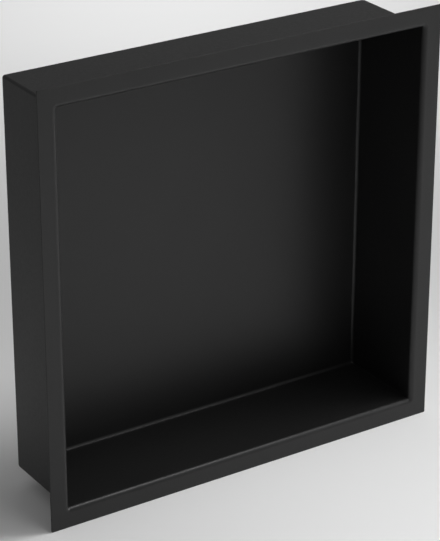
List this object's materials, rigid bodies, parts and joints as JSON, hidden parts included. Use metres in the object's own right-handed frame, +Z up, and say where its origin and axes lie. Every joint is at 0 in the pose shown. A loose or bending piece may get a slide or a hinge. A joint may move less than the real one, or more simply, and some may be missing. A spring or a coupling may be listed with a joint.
{
  "type": "shower niche insert",
  "caption": "Square recessed wall niche for a shower: a folded sheet-metal pan, open at the front, with a narrow flat flange round the opening that lies on the wall.",
  "frame": {"origin": "centre of the opening, on the plane of the flange's back face, which is the wall's surface", "axes": "+Y into the wall, along the depth of the niche; +Z up; +X to the right as seen from the room"},
  "size_m": [0.33, 0.0762, 0.33],
  "materials": {
    "black_coat": "satin black powder coat"
  },
  "bodies": {
    "root": {"niche_body": "black_coat"}
  },
  "joints": []
}
